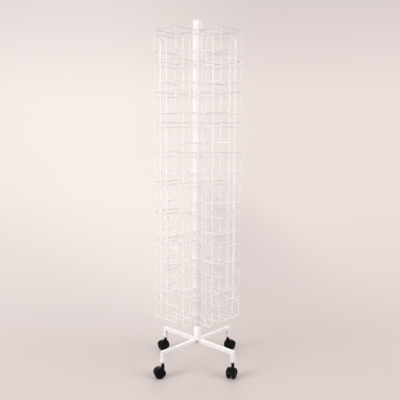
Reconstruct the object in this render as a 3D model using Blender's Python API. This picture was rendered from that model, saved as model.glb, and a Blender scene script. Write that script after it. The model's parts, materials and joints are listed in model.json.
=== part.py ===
"""White spinner display rack: two columns of wire baskets that turn with a square post on a four-castor base.

Metres, +Z up. The origin is on the floor under the post. The legs, the post's faces and the basket walls lie
along X and Y. One column of baskets fills the +X +Y corner of the post, and the other the -X -Y corner.
"""

import math

import bmesh
import bpy
from mathutils import Matrix, Vector

MM = 0.001

# Fits. Pieces that are welded or seated keep a hair of clearance, and turning pieces a running one.
SEAT_GAP = 0.3 * MM
RUNNING_GAP = 0.3 * MM

# How near two points of a turned shape's seam are to be one point.
SEAM_WELD = 0.001 * MM

# Post: a square tube that turns on a fixed spindle.
POST_SIDE = 35 * MM
POST_WALL = 1.5 * MM
POST_EDGE = 2 * MM
POST_ABOVE_RIM = 44 * MM
CAP_THICKNESS = 3 * MM
CAP_PLUG_DEPTH = 18 * MM
CAP_PLUG_WALL = 2 * MM

# Spindle, the bushes that the post turns on, and the washer that carries the post's weight.
SPINDLE_DIAMETER = 20 * MM
SPINDLE_WALL = 2 * MM
SPINDLE_TOP = 620 * MM
SPINDLE_SEGMENTS = 24
BUSH_HEIGHT = 30 * MM
BUSH_FLANGE = 3 * MM
UPPER_BUSH_DROP = 15 * MM
WASHER_DIAMETER = 26 * MM
WASHER_THICKNESS = 2 * MM

# Base: a square socket with four legs, each turned down over its castor.
SOCKET_SIDE = 25 * MM
SOCKET_EDGE = 1 * MM
SOCKET_TOP = 197 * MM
LEG_REACH = 236 * MM
LEG_WIDTH = 15 * MM
LEG_HEIGHT = 20 * MM
LEG_WALL = 1.5 * MM
LEG_EDGE = 1.5 * MM
LEG_DROP = 54 * MM

# Baskets.
TIERS = 10
TIER_PITCH = 144 * MM
LOWEST_RIM = 346 * MM
BASKET_SIDE = 147 * MM
BASKET_DEPTH = 98 * MM
GUARD_DROP = 20 * MM
BASKET_WIRE = 3.2 * MM
FILL_WIRE = 2.8 * MM
WIRE_SIDES = 5
FILL_SIDES = 4
# A corner post stands a little off the plane of the loops' mitres, so that no edge of it lies there.
POST_OFF_MITRE = 0.2 * MM

# Hairpins: the pair of long wires that ties the baskets of one wall together.
HAIRPIN_WIRE = 4 * MM
HAIRPIN_SIDES = 6
HAIRPIN_NEAR = 59 * MM
HAIRPIN_FAR = 102 * MM
HAIRPIN_BELOW_RIM = 42 * MM
HAIRPIN_BEND = 8 * MM
HAIRPIN_BEND_STEPS = 2
ARM_BELOW_BASKET = 36 * MM

# Castors, with twin wheels under a hood that trails behind its stem.
CASTOR_TRAIL = 17 * MM
WHEEL_DIAMETER = 50 * MM
WHEEL_WIDTH = 14 * MM
WHEEL_EDGE = 1.5 * MM
WHEEL_RIM = 4 * MM
WHEEL_DISH = 2.5 * MM
WHEEL_SEGMENTS = 20
WHEEL_SIDE_GAP = 0.5 * MM
AXLE_DIAMETER = 7 * MM
AXLE_SEGMENTS = 12
WEB_THICKNESS = 13 * MM
WEB_HUB_RADIUS = 12 * MM
HOOD_GAP = 1.5 * MM
HOOD_WALL = 2.2 * MM
HOOD_START = math.radians(10)
HOOD_END = math.radians(200)
HOOD_LIP = math.radians(6)
HOOD_STEPS = 12
NECK_DIAMETER = 15 * MM
NECK_TOP = 70 * MM
NECK_SHOULDER = 20 * MM
NECK_SEGMENTS = 16
STEM_DIAMETER = 8 * MM
STEM_DEPTH = 24 * MM
STEM_COLLAR_DIAMETER = 14 * MM
STEM_COLLAR_HEIGHT = 5.4 * MM
STEM_PLUG_HEIGHT = 24 * MM

# Each castor's leg direction and the way it trails at rest, as angles about Z.
CASTORS = {
    "front_right": (0, 290),
    "back_right": (90, 82),
    "back_left": (180, 182),
    "front_left": (270, 242),
}

# Sizes that follow from those above.
POST_INSIDE = POST_SIDE - 2 * POST_WALL
PLUG_SIDE = POST_INSIDE - 2 * SEAT_GAP
SPINDLE_BORE = SPINDLE_DIAMETER + 2 * RUNNING_GAP
WASHER_BOTTOM = SOCKET_TOP + SEAT_GAP
BUSH_BOTTOM = WASHER_BOTTOM + WASHER_THICKNESS + RUNNING_GAP
POST_BOTTOM = BUSH_BOTTOM + BUSH_FLANGE + SEAT_GAP
AXLE_HEIGHT = WHEEL_DIAMETER / 2 * math.cos(math.pi / WHEEL_SEGMENTS)
AXLE_BORE = AXLE_DIAMETER + 2 * RUNNING_GAP
STEM_BORE = STEM_DIAMETER + 2 * RUNNING_GAP
COLLAR_BOTTOM = NECK_TOP + RUNNING_GAP
LEG_END = COLLAR_BOTTOM + STEM_COLLAR_HEIGHT + SEAT_GAP
LEG_CENTRE = LEG_END + LEG_DROP - LEG_HEIGHT / 2
SOCKET_BOTTOM = LEG_CENTRE - LEG_HEIGHT / 2
HOOD_INNER = WHEEL_DIAMETER / 2 + HOOD_GAP
HOOD_OUTER = HOOD_INNER + HOOD_WALL
WHEEL_INNER_FACE = WEB_THICKNESS / 2 + WHEEL_SIDE_GAP
WHEEL_OUTER_FACE = WHEEL_INNER_FACE + WHEEL_WIDTH
WIRE_START = POST_SIDE / 2 + SEAT_GAP
HAIRPIN_OFFSET = (BASKET_WIRE + HAIRPIN_WIRE) / 2 + SEAT_GAP
HIGHEST_RIM = LOWEST_RIM + (TIERS - 1) * TIER_PITCH
POST_TOP = HIGHEST_RIM + POST_ABOVE_RIM
HAIRPIN_TOP = HIGHEST_RIM - HAIRPIN_BELOW_RIM
BASKET_FOOT = LOWEST_RIM - BASKET_DEPTH
ARM_HEIGHT = BASKET_FOOT - ARM_BELOW_BASKET


def make_material(name, colour, roughness, metallic=0.0):
    material = bpy.data.materials.new(name)
    material.use_nodes = True
    shader = material.node_tree.nodes["Principled BSDF"]
    shader.inputs["Base Color"].default_value = (*colour, 1.0)
    shader.inputs["Roughness"].default_value = roughness
    shader.inputs["Metallic"].default_value = metallic
    return material


def add_object(name, mesh, material, parent=None, location=(0, 0, 0), turn=0.0):
    """Put a mesh in the scene. Copies of one mesh share its material."""
    mesh.materials.clear()
    mesh.materials.append(material)
    obj = bpy.data.objects.new(name, mesh)
    bpy.context.scene.collection.objects.link(obj)
    obj.parent = parent
    obj.location = location
    obj.rotation_euler = (0, 0, turn)
    return obj


def add_axis(name, location=(0, 0, 0), turn=0.0):
    """An empty on a joint's axis, which carries the pieces that turn about it."""
    axis = bpy.data.objects.new(name, None)
    bpy.context.scene.collection.objects.link(axis)
    axis.location = location
    axis.rotation_euler = (0, 0, turn)
    return axis


def finish_mesh(name, shape):
    bmesh.ops.recalc_face_normals(shape, faces=shape.faces)
    mesh = bpy.data.meshes.new(name)
    shape.to_mesh(mesh)
    shape.free()
    return mesh


def combine(first, others, operation):
    """The union of closed meshes, or the first with the others cut out, as one new mesh."""
    scene = bpy.context.scene.collection
    work = bpy.data.objects.new("work", first)
    scene.objects.link(work)
    tools = []
    for other in others:
        tool = bpy.data.objects.new("tool", other)
        scene.objects.link(tool)
        tools.append(tool)
        modifier = work.modifiers.new("combine", "BOOLEAN")
        modifier.operation = operation
        modifier.object = tool
    bpy.context.view_layer.update()
    evaluated = work.evaluated_get(bpy.context.evaluated_depsgraph_get())
    result = bpy.data.meshes.new_from_object(evaluated)
    for obj in [work, *tools]:
        bpy.data.objects.remove(obj)
    return result


def arc(radius, start, end, steps, centre=(0, 0)):
    """Points along an arc in a plane, both ends included."""
    angles = [start + (end - start) * step / steps for step in range(steps + 1)]
    return [(centre[0] + radius * math.cos(a), centre[1] + radius * math.sin(a)) for a in angles]


def circle(radius, segments):
    """A polygon whose flats, not its corners, face along the axes when segments is a multiple of four."""
    step = 2 * math.pi / segments
    return arc(radius, step / 2, 2 * math.pi - step / 2, segments - 1)


def rectangle(width, height, edge):
    """A rectangle with its corners cut at 45 degrees by edge, as a list of points round the centre."""
    x, y = width / 2, height / 2
    corners = []
    for sx, sy in ((1, 1), (-1, 1), (-1, -1), (1, -1)):
        pair = [(sx * x, sy * (y - edge)), (sx * (x - edge), sy * y)]
        corners += pair if sx * sy > 0 else pair[::-1]
    return corners


def rounded(path, radius, steps):
    """The path with each inner corner replaced by an arc of straight steps."""
    points = [Vector(path[0])]
    for before, corner, after in zip(path, path[1:], path[2:]):
        corner = Vector(corner)
        back = (Vector(before) - corner).normalized()
        onward = (Vector(after) - corner).normalized()
        centre = corner + (back + onward) * radius
        for step in range(steps + 1):
            a = math.pi / 2 * step / steps
            points.append(centre - onward * radius * math.cos(a) - back * radius * math.sin(a))
    return [*points, Vector(path[-1])]


def sweep_rings(path, section):
    """The section's rings along a path of straight runs, with a mitre at each corner."""
    path = [Vector(point) for point in path]
    along = (path[1] - path[0]).normalized()
    side = along.cross(Vector((0, 0, 1)) if abs(along.z) < 0.9 else Vector((0, 1, 0))).normalized()
    upright = side.cross(along)
    rings = [[path[0] + side * u + upright * v for u, v in section]]
    for index in range(1, len(path)):
        along = (path[index] - path[index - 1]).normalized()
        last = index + 1 == len(path)
        onward = along if last else (path[index + 1] - path[index]).normalized()
        mitre = along + onward
        ring = [p + along * ((path[index] - p).dot(mitre) / along.dot(mitre)) for p in rings[-1]]
        rings.append(ring)
    return rings


def skin(shape, rings):
    """Join rings of points with faces, and return the first and last rings' vertices."""
    rows = [[shape.verts.new(point) for point in ring] for ring in rings]
    for row, following in zip(rows, rows[1:]):
        for i, vertex in enumerate(row):
            j = (i + 1) % len(row)
            shape.faces.new((vertex, row[j], following[j], following[i]))
    return rows[0], rows[-1]


def sweep(name, path, section, bore=None):
    """A bar along a path or, with a bore of as many points as the section, a tube open at both ends."""
    shape = bmesh.new()
    ends = skin(shape, sweep_rings(path, section))
    if bore is None:
        for end in ends:
            shape.faces.new(end)
        return finish_mesh(name, shape)
    inner_ends = skin(shape, sweep_rings(path, bore))
    for outer, inner in zip(ends, inner_ends):
        for i, vertex in enumerate(outer):
            j = (i + 1) % len(outer)
            shape.faces.new((vertex, outer[j], inner[j], inner[i]))
    return finish_mesh(name, shape)


def wire(path, diameter, sides):
    return sweep("wire", path, circle(diameter / 2, sides))


def cylinder(diameter, segments, start, end):
    return sweep("cylinder", [start, end], circle(diameter / 2, segments))


def plate(outline, half_thickness):
    """An outline in the XZ plane, thickened both ways along Y."""
    shape = bmesh.new()
    ends = [[(x, y, z) for x, z in outline] for y in (-half_thickness, half_thickness)]
    for end in skin(shape, ends):
        shape.faces.new(end)
    return finish_mesh("plate", shape)


def revolve_about_y(name, profile, segments):
    """A closed profile of (radius, y) points turned about the Y axis."""
    shape = bmesh.new()
    rings = []
    for x, z in circle(1, segments):
        rings.append([(radius * x, y, radius * z) for radius, y in profile])
    skin(shape, [*rings, rings[0]])
    bmesh.ops.remove_doubles(shape, verts=shape.verts, dist=SEAM_WELD)
    return finish_mesh(name, shape)


def square_bush(name, height, flange):
    """A square plug with a round bore for the spindle, and a flange under it if flange is not zero."""
    body = sweep(name, [(0, 0, 0), (0, 0, flange + height)], rectangle(PLUG_SIDE, PLUG_SIDE, POST_EDGE))
    if flange:
        foot = sweep(name, [(0, 0, 0), (0, 0, flange)], rectangle(POST_SIDE, POST_SIDE, POST_EDGE))
        body = combine(body, [foot], "UNION")
    bore = cylinder(SPINDLE_BORE, SPINDLE_SEGMENTS, (0, 0, -height), (0, 0, 2 * height))
    return combine(body, [bore], "DIFFERENCE")


def post_cap():
    """A flat cap with a hollow plug that fits inside the post."""
    shape = bmesh.new()
    inside = PLUG_SIDE - 2 * CAP_PLUG_WALL
    top = CAP_THICKNESS
    levels = [
        (inside, 0),
        (inside, -CAP_PLUG_DEPTH),
        (PLUG_SIDE, -CAP_PLUG_DEPTH),
        (PLUG_SIDE, 0),
        (POST_SIDE, 0),
        (POST_SIDE, top),
    ]
    rings = []
    for side, height in levels:
        rings.append([(x, y, height) for x, y in rectangle(side, side, POST_EDGE)])
    for end in skin(shape, rings):
        shape.faces.new(end)
    return finish_mesh("post_cap", shape)


def basket():
    """One square wire basket. Its three loops end at two faces of the post, which fills its fourth corner."""
    loops = []
    for height in (0, -GUARD_DROP, -BASKET_DEPTH):
        corners = [(WIRE_START, 0), (BASKET_SIDE, 0), (BASKET_SIDE, BASKET_SIDE), (0, BASKET_SIDE), (0, WIRE_START)]
        loops.append(wire([(x, y, height) for x, y in corners], BASKET_WIRE, WIRE_SIDES))
    posts = []
    for x, y in ((BASKET_SIDE, 0), (BASKET_SIDE, BASKET_SIDE), (0, BASKET_SIDE)):
        at = x - POST_OFF_MITRE
        posts.append(wire([(at, y, -BASKET_DEPTH), (at, y, 0)], FILL_WIRE, FILL_SIDES))
    floor = []
    for y in (HAIRPIN_NEAR, HAIRPIN_FAR):
        floor.append(wire([(0, y, -BASKET_DEPTH), (BASKET_SIDE, y, -BASKET_DEPTH)], FILL_WIRE, FILL_SIDES))
    return combine(loops[0], [*posts, *loops[1:], *floor], "UNION")


def outer_hairpin(lowest_loop):
    """A long U of wire along +X, open at the foot, for a wall away from the post. It ends at the lowest loop's wire."""
    foot = lowest_loop - BASKET_WIRE / 2
    path = [(HAIRPIN_NEAR, foot), (HAIRPIN_NEAR, HAIRPIN_TOP), (HAIRPIN_FAR, HAIRPIN_TOP), (HAIRPIN_FAR, foot)]
    path = rounded([(x, 0, z) for x, z in path], HAIRPIN_BEND, HAIRPIN_BEND_STEPS)
    return wire(path, HAIRPIN_WIRE, HAIRPIN_SIDES)


def inner_hairpin():
    """The same U for a wall that meets the post, with its far leg turned in below as an arm to the post."""
    foot = ARM_HEIGHT + HAIRPIN_WIRE / 2 + SEAT_GAP
    path = [(WIRE_START, ARM_HEIGHT), (HAIRPIN_FAR, ARM_HEIGHT), (HAIRPIN_FAR, HAIRPIN_TOP)]
    path += [(HAIRPIN_NEAR, HAIRPIN_TOP), (HAIRPIN_NEAR, foot)]
    path = rounded([(x, 0, z) for x, z in path], HAIRPIN_BEND, HAIRPIN_BEND_STEPS)
    return wire(path, HAIRPIN_WIRE, HAIRPIN_SIDES)


def base_socket():
    body = [(0, 0, SOCKET_BOTTOM), (0, 0, SOCKET_TOP)]
    body = sweep("base_socket", body, rectangle(SOCKET_SIDE, SOCKET_SIDE, SOCKET_EDGE))
    bore = cylinder(SPINDLE_DIAMETER + 2 * SEAT_GAP, SPINDLE_SEGMENTS, (0, 0, 0), (0, 0, 2 * SOCKET_TOP))
    return combine(body, [bore], "DIFFERENCE")


def leg():
    """A rectangular tube along +X, mitred square down over its castor."""
    path = [(SOCKET_SIDE / 2 + SEAT_GAP, 0, LEG_CENTRE), (LEG_REACH, 0, LEG_CENTRE), (LEG_REACH, 0, LEG_END)]
    outer = rectangle(LEG_WIDTH, LEG_HEIGHT, LEG_EDGE)
    inner = rectangle(LEG_WIDTH - 2 * LEG_WALL, LEG_HEIGHT - 2 * LEG_WALL, LEG_EDGE / 2)
    return sweep("leg", path, outer, inner)


def castor_stem():
    """The pin that the hood swivels on, with a collar under the leg and a plug inside it. X is the leg's way."""
    overlap = STEM_COLLAR_HEIGHT / 2
    collar_top = COLLAR_BOTTOM + STEM_COLLAR_HEIGHT
    plug_length = LEG_HEIGHT - 2 * LEG_WALL - 2 * SEAT_GAP
    plug_width = LEG_WIDTH - 2 * LEG_WALL - 2 * SEAT_GAP
    collar = cylinder(STEM_COLLAR_DIAMETER, NECK_SEGMENTS, (0, 0, COLLAR_BOTTOM), (0, 0, collar_top))
    pin = cylinder(STEM_DIAMETER, AXLE_SEGMENTS, (0, 0, NECK_TOP - STEM_DEPTH), (0, 0, COLLAR_BOTTOM + overlap))
    plug = [(0, 0, collar_top - overlap), (0, 0, LEG_END + STEM_PLUG_HEIGHT)]
    plug = sweep("plug", plug, rectangle(plug_length, plug_width, LEG_EDGE))
    return combine(collar, [pin, plug], "UNION")


def castor_hood():
    """The moulded body: a shell over both wheels, a web between them and a neck for the stem. It trails along +X."""
    axle = (CASTOR_TRAIL, AXLE_HEIGHT)
    shell = arc(HOOD_OUTER, HOOD_START, HOOD_END, HOOD_STEPS, axle)
    shell += arc(HOOD_INNER, HOOD_END, HOOD_START, HOOD_STEPS, axle)
    start, end = HOOD_START + HOOD_LIP, HOOD_END - HOOD_LIP
    web = arc(HOOD_INNER + HOOD_WALL / 2, start, end, HOOD_STEPS, axle)
    web += arc(WEB_HUB_RADIUS, end, start + 2 * math.pi, HOOD_STEPS // 2, axle)
    half_neck = NECK_DIAMETER / 2 - HOOD_WALL / 4
    shoulder = NECK_TOP - NECK_SHOULDER
    neck = [(-half_neck, AXLE_HEIGHT), (half_neck, AXLE_HEIGHT)]
    neck += [(half_neck, NECK_TOP - HOOD_WALL / 2), (-half_neck, NECK_TOP - HOOD_WALL / 2)]
    boss = cylinder(NECK_DIAMETER, NECK_SEGMENTS, (0, 0, shoulder), (0, 0, NECK_TOP))
    half_web = WEB_THICKNESS / 2
    body = [plate(web, half_web), plate(neck, half_web - HOOD_WALL / 10), boss]
    body = combine(plate(shell, WHEEL_OUTER_FACE + WHEEL_SIDE_GAP), body, "UNION")
    stem_foot = NECK_TOP - STEM_DEPTH - RUNNING_GAP
    stem_bore = cylinder(STEM_BORE, AXLE_SEGMENTS, (0, 0, stem_foot), (0, 0, 2 * NECK_TOP))
    axle_ends = [(CASTOR_TRAIL, side * WEB_THICKNESS, AXLE_HEIGHT) for side in (-1, 1)]
    return combine(body, [stem_bore, cylinder(AXLE_BORE, AXLE_SEGMENTS, *axle_ends)], "DIFFERENCE")


def wheel():
    """One wheel on the +Y side of the web, with a dished outer face. Its centre line is the Y axis."""
    bore = AXLE_BORE / 2
    tread = WHEEL_DIAMETER / 2
    inner, outer = WHEEL_INNER_FACE, WHEEL_OUTER_FACE
    profile = [
        (bore, inner),
        (tread, inner),
        (tread, outer - WHEEL_EDGE),
        (tread - WHEEL_EDGE, outer),
        (tread - WHEEL_RIM, outer),
        (tread - WHEEL_RIM - WHEEL_DISH, outer - WHEEL_DISH),
        (bore, outer - WHEEL_DISH),
    ]
    return revolve_about_y("wheel", profile, WHEEL_SEGMENTS)


def build_base(white, steel, nylon):
    add_object("base_socket", base_socket(), white)
    outside = circle(SPINDLE_DIAMETER / 2, SPINDLE_SEGMENTS)
    inside = circle(SPINDLE_DIAMETER / 2 - SPINDLE_WALL, SPINDLE_SEGMENTS)
    spindle = [(0, 0, SOCKET_BOTTOM), (0, 0, SPINDLE_TOP)]
    add_object("spindle", sweep("spindle", spindle, outside, inside), steel)
    outside = circle(WASHER_DIAMETER / 2, SPINDLE_SEGMENTS)
    inside = circle(SPINDLE_BORE / 2, SPINDLE_SEGMENTS)
    washer = [(0, 0, WASHER_BOTTOM), (0, 0, WASHER_BOTTOM + WASHER_THICKNESS)]
    add_object("thrust_washer", sweep("thrust_washer", washer, outside, inside), nylon)
    leg_mesh = leg()
    for place, (direction, _) in CASTORS.items():
        add_object(f"leg_{place}", leg_mesh, white, turn=math.radians(direction))


def build_castors(steel, black):
    stem_mesh = castor_stem()
    hood_mesh = castor_hood()
    wheel_mesh = wheel()
    half_axle = WHEEL_OUTER_FACE - WHEEL_DISH - SEAT_GAP
    axle_mesh = cylinder(AXLE_DIAMETER, AXLE_SEGMENTS, (0, -half_axle, 0), (0, half_axle, 0))
    for place, (direction, trail) in CASTORS.items():
        direction = math.radians(direction)
        at = (LEG_REACH * math.cos(direction), LEG_REACH * math.sin(direction), 0)
        add_object(f"castor_stem_{place}", stem_mesh, steel, location=at, turn=direction)
        swivel = add_axis(f"swivel_axis_{place}", at, math.radians(trail))
        add_object(f"castor_hood_{place}", hood_mesh, black, swivel)
        axle = (CASTOR_TRAIL, 0, AXLE_HEIGHT)
        add_object(f"castor_axle_{place}", axle_mesh, steel, swivel, axle)
        add_object(f"castor_wheel_{place}_a", wheel_mesh, black, swivel, axle)
        add_object(f"castor_wheel_{place}_b", wheel_mesh, black, swivel, axle, math.pi)


def build_post(spinner, white, nylon):
    section = rectangle(POST_SIDE, POST_SIDE, POST_EDGE)
    bore = rectangle(POST_INSIDE, POST_INSIDE, POST_EDGE / 2)
    post = [(0, 0, POST_BOTTOM), (0, 0, POST_TOP)]
    add_object("post_tube", sweep("post_tube", post, section, bore), white, spinner)
    add_object("post_cap", post_cap(), white, spinner, (0, 0, POST_TOP + SEAT_GAP))
    lower = square_bush("lower_bush", BUSH_HEIGHT, BUSH_FLANGE)
    add_object("lower_bush", lower, nylon, spinner, (0, 0, BUSH_BOTTOM))
    upper = square_bush("upper_bush", BUSH_HEIGHT, 0)
    upper_bottom = SPINDLE_TOP - UPPER_BUSH_DROP - BUSH_HEIGHT
    add_object("upper_bush", upper, nylon, spinner, (0, 0, upper_bottom))


def build_column(name, turn, spinner, white, meshes):
    """One column of baskets and its four hairpins, built in the +X +Y corner and turned about the post."""
    basket_mesh, inner_mesh, outer_mesh, mirrored_inner, mirrored_outer = meshes
    for tier in range(TIERS):
        height = HIGHEST_RIM - tier * TIER_PITCH
        add_object(f"{name}_basket_{tier + 1:02d}", basket_mesh, white, spinner, (0, 0, height), turn)
    across = BASKET_SIDE + HAIRPIN_OFFSET
    walls = [
        ("inner_x", inner_mesh, (0, -HAIRPIN_OFFSET)),
        ("outer_x", outer_mesh, (0, across)),
        ("inner_y", mirrored_inner, (-HAIRPIN_OFFSET, 0)),
        ("outer_y", mirrored_outer, (across, 0)),
    ]
    for wall, mesh, place in walls:
        location = Matrix.Rotation(turn, 3, "Z") @ Vector((*place, 0))
        add_object(f"{name}_hairpin_{wall}", mesh, white, spinner, location, turn)


def along_y(mesh):
    """A copy of a mesh that lies in the XZ plane, turned to lie in the YZ plane."""
    turned = mesh.copy()
    turned.transform(Matrix.Rotation(math.pi / 2, 4, "Z"))
    return turned


def main():
    for obj in list(bpy.data.objects):
        bpy.data.objects.remove(obj)
    white = make_material("white_powder_coat", (0.86, 0.86, 0.84), 0.4)
    steel = make_material("zinc_plated_steel", (0.55, 0.56, 0.57), 0.35, 1.0)
    nylon = make_material("natural_nylon", (0.78, 0.76, 0.70), 0.5)
    black = make_material("black_moulded_plastic", (0.012, 0.012, 0.013), 0.45)
    build_base(white, steel, nylon)
    build_castors(steel, black)
    spinner = add_axis("spinner_axis")
    build_post(spinner, white, nylon)
    inner = inner_hairpin()
    long_outer, short_outer = outer_hairpin(BASKET_FOOT), outer_hairpin(LOWEST_RIM)
    meshes = (basket(), inner, long_outer, along_y(inner), along_y(short_outer))
    build_column("right", 0.0, spinner, white, meshes)
    build_column("left", math.pi, spinner, white, meshes)


main()
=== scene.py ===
"""Looks of a white spinner display rack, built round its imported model.

Laid out as an add-on with one operator for each group of pieces. Metres, +Z up, in the model's own frame.
"""

import json
import math

import bpy
import numpy as np
from bpy.props import FloatProperty, FloatVectorProperty, IntProperty, PointerProperty
from mathutils import Matrix, Vector

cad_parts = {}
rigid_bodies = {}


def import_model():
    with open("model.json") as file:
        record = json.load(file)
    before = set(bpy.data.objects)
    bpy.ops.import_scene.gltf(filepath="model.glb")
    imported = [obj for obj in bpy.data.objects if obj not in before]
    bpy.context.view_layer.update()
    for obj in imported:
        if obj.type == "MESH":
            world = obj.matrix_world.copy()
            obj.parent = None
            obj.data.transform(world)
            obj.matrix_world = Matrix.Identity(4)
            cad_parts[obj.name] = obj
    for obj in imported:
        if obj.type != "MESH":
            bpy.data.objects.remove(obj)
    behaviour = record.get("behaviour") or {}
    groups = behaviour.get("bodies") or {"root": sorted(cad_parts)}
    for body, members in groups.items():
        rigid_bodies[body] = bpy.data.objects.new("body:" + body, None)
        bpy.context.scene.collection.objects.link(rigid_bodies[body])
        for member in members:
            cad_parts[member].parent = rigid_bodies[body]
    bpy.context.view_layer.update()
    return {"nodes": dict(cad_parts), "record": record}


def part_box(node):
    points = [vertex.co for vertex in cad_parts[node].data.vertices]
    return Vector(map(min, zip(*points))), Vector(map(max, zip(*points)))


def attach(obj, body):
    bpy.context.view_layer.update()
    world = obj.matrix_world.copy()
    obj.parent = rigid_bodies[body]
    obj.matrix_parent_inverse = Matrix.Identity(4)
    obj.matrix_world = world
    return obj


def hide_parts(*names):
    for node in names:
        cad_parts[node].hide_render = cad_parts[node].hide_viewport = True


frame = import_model()

bl_info = {
    "name": "Spinner display rack",
    "version": (1, 0, 0),
    "blender": (4, 5, 0),
    "location": "3D View > Sidebar > Rack",
    "description": "Round welded wire, rounded tube, castors and finishes for a spinner display rack",
    "category": "Object",
}

MM = 0.001
TURN = 2 * math.pi
QUARTER = math.pi / 2
UP = (0.0, 0.0, 1.0)

# The rack's own sizes, as its solids have them. First the baskets and the long wires, called hairpins.
TIERS = 10
TIER_PITCH = 144 * MM
HIGHEST_RIM = 1642 * MM
BASKET_SIDE = 147 * MM
# How far each loop of a basket lies below its rim.
LOOP_DROPS = (0 * MM, 20 * MM, 98 * MM)
WIRE_START = 17.8 * MM
UPRIGHT_PAIR = (59 * MM, 102 * MM)
HAIRPIN_TOP = 1600 * MM
# The outer hairpins along X go down to the lowest basket's floor, those along Y only to its rim.
OUTER_FEET = {wall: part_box(f"right_hairpin_outer_{wall}")[0].z for wall in "xy"}
ARM_HEIGHT = 212 * MM
ARM_FOOT = 214.3 * MM
HAIRPIN_OFFSET = 3.9 * MM
# Half the gap between a loop and a hairpin.
HALF_GAP = 0.15 * MM
COLUMNS = {"right": 0.0, "left": math.pi}

# The post and its cap.
POST_SIDE = 35 * MM
POST_INSIDE = 32 * MM
POST_LIP = 0.4 * MM
CAP_PLUG = 31.4 * MM
CAP_PLUG_CORNER = 1.5 * MM
CAP_PLUG_DEPTH = 18 * MM
CAP_FLANGE = 1.2 * MM
# The cap's eased edge: (how much narrower than the post, how far below the top), in mm.
CAP_EDGE = ((0.3, 0.9), (1.0, 0.3), (2.6, 0.0))

# The base.
SOCKET_SIDE = 25 * MM
SOCKET_CORNER = 1.4 * MM
SOCKET_BORE = 20.6 * MM
# The bore's first point, in radians, beside the outside's first point.
BORE_START = 0.05
# The socket's ends draw in to a narrower square over a short height.
SOCKET_END = 24 * MM
SOCKET_END_CORNER = 1.0 * MM
SOCKET_LIP = 0.8 * MM
LEG_START = 12.8 * MM
LEG_REACH = 236 * MM
LEG_SECTION = (15 * MM, 20 * MM)
LEG_WALL = 1.5 * MM
LEG_END = 76 * MM
LEG_CENTRE = 120 * MM

# Each castor's leg direction and the way it trails at rest, in degrees about Z.
CASTORS = {
    "front_right": (0, 290),
    "back_right": (90, 82),
    "back_left": (180, 182),
    "front_left": (270, 242),
}
CASTOR_TRAIL = 17 * MM
AXLE_HEIGHT = 24.69 * MM
# The stem's turned profile from its foot up, and half of the axle's from its end inwards, in mm.
STEM = (
    *((0.5, 51.0), (3.3, 51.0), (4.0, 51.8), (4.0, 70.2), (6.3, 70.3), (7.0, 71.0), (7.0, 72.4)),
    *((6.4, 72.8), (6.4, 73.4), (7.0, 73.8), (7.0, 75.0), (6.4, 75.7), (0.5, 75.7)),
)
AXLE_END = ((0.4, 0.0), (2.2, 0.3), (3.2, 1.0), (3.5, 1.8))
# The axle ends this far short of each blind bore.
AXLE_GAP = 0.3 * MM
PLUG_SECTION = (16.4 * MM, 11.4 * MM)
PLUG_CORNER = 1.0 * MM
PLUG_FOOT = 74 * MM
PLUG_TOP = LEG_END + 24 * MM
NECK_TOP = 70 * MM
# The neck's half widths at its foot, and its radius at the top.
NECK_FOOT = (7.0 * MM, 6.3 * MM)
NECK_RADIUS = 7.5 * MM
# It may widen only above the wheels, which reach to 0.55 of its height.
NECK_WIDENS = (0.56, 0.78)
# Its top edge draws in to this share of its radius.
NECK_END = 0.9
NECK_BORE = 4.3 * MM
NECK_BORE_FOOT = 50.7 * MM
WHEEL_FACES = (7.0 * MM, 21.0 * MM)
WHEEL_DISH = 2.5 * MM
WHEEL_BORE = 3.8 * MM
WHEEL_HUB = 8.0 * MM
# The smallest circle of a turned face, which a flat cap closes.
POLE = 0.4 * MM
# A ring cut into a wheel's inner face, as (radius, depth), and the outer face as (step in radius, depth),
# first from the rim and then from the hub, all in mm.
GROOVE = ((14.0, 0.0), (14.4, 0.7), (17.6, 0.7), (18.0, 0.0))
RIM_STEPS = ((-0.9, 0.0), (-1.4, 0.3), (-3.2, 2.1), (-4.0, 2.5))
HUB_STEPS = ((1.6, 2.5), (0.8, 2.2), (0.4, 1.7), (-0.4, 1.3), (-3.2, 0.9), (-5.6, 0.7), (-7.6, 0.6))
HOOD_INNER = 26.5 * MM
HOOD_HALF = WHEEL_FACES[1] + 0.5 * MM
# The hood's ends, where and over how far the web widens towards it, and the web's own turn, in degrees.
HOOD_ARC = (10, 200)
WEB_ARC = (16, 194)
WEB_WIDENS = 12
WEB_TURN = (-160, 200)
WEB_HALF = 6.5 * MM
WEB_HUB = 12 * MM
WEB_EDGE = 0.8 * MM
# It reaches this share of the wall into the hood.
WEB_SUNK = 0.6

# Facets round turned pieces, and steps along their curves.
STEM_FACETS = 40
AXLE_FACETS = 32
FLARE_FACETS = 14
TREAD_STEPS = 9
COVER_ACROSS = 15
COVER_EDGE = 7
COVER_STEPS = 61
WEB_FACETS = 72
NECK_FACETS = 40
NECK_STEPS = 24

# How wire and tube are cut and welded. A cut end draws in over 0.35 of the wire's radius, to 0.68 of it.
CUT_INSET = 0.35
CUT_RADIUS = 0.68
# Spot welds, as shares of their size along X, Y and Z, and the angle left open at their poles.
POST_SPOT = (1, 1, 0.8)
FLOOR_SPOT = (1, 1, 0.7)
HAIRPIN_SPOTS = {"x": (1, 0.6, 1), "y": (0.6, 1, 1)}
SPOT_POLE = 0.35
# A loop's bend brings the weld at its corner this far in.
CORNER_INSET = 1.3 * MM
# The floor wires are pressed into the loop under them, to 0.8 of the height at which they would touch.
PRESSED = 0.8
# The flare where a loop meets the post: (radius in the wire's radii, mm from the post).
FLARE = ((0.3, -0.3), (2.4, -0.3), (2.3, 0.4), (1.75, 1.2), (1.3, 2.4), (1.0, 3.6), (0.3, 3.6))
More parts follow.
